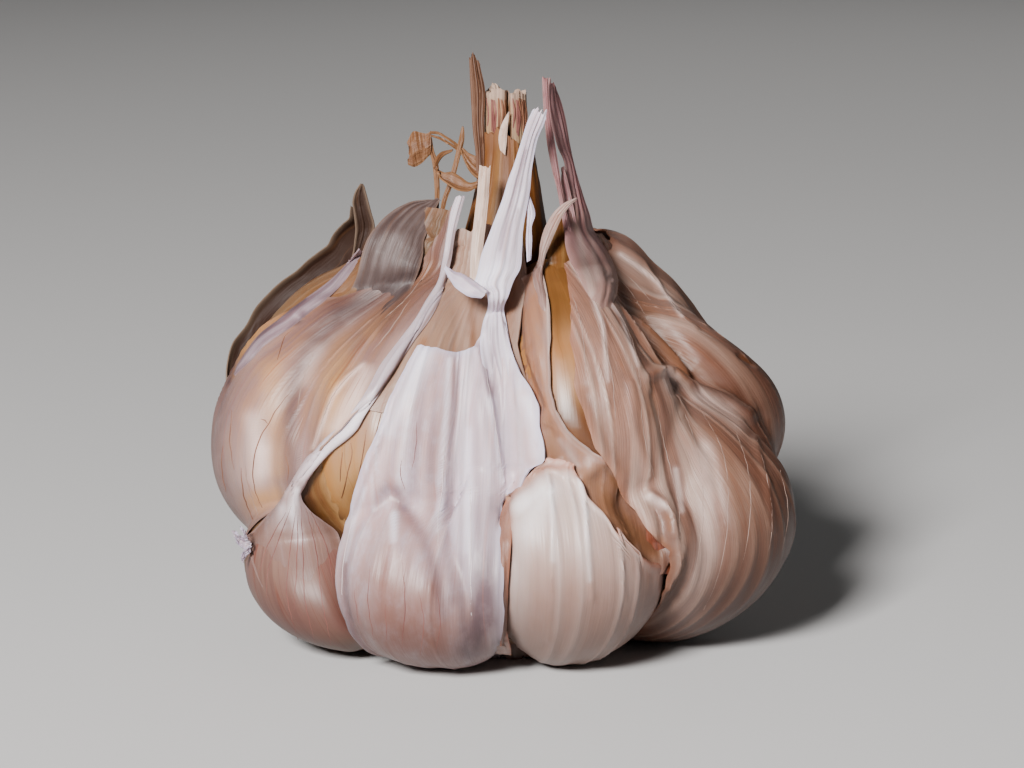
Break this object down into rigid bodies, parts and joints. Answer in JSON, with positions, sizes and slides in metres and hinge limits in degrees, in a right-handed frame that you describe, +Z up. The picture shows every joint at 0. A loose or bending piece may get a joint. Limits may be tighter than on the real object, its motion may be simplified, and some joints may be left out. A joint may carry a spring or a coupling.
{
  "type": "garlic bulb",
  "caption": "Whole dried garlic bulb with papery outer sheaths partly torn away, cloves showing, a short cut neck and a flat root plate.",
  "frame": {"origin": "centre of the small flat spot under the root plate, on which the bulb rests", "axes": "+Z up along the neck, -Y towards the side where the torn sheath shows the inner cloves, +X to that side's right"},
  "size_m": [0.0601, 0.0567, 0.0596],
  "materials": {
    "skin": "thin papery dry sheath, white to pinkish tan",
    "inner_skin": "thin brown dry inner sheath",
    "dry_skin": "grey-brown curled dry sheath",
    "neck_skin": "brown striped papery neck sheath",
    "clove": "smooth satin clove skin, cream to pink",
    "stem": "dry fibrous cut stem, beige",
    "root": "rough dry root plate with trimmed root stubs"
  },
  "bodies": {
    "root": {"root_plate": "root", "stem": "stem", "neck_sheath": "neck_skin", "clove_low_left": "clove", "clove_front_left": "clove", "clove_front_right": "clove", "clove_low_right": "clove", "clove_right": "clove", "clove_back_right": "clove", "clove_back": "clove", "clove_back_left": "clove", "clove_left": "clove", "clove_inner_left": "clove", "clove_inner_right": "clove", "clove_inner_front": "clove", "sheath_front": "skin", "sheath_front_right": "skin", "sheath_front_right_tail": "skin", "sheath_inner_front": "inner_skin", "sheath_right": "skin", "sheath_back": "skin", "sheath_left": "skin", "sheath_dry_flap": "dry_skin"}
  },
  "joints": []
}
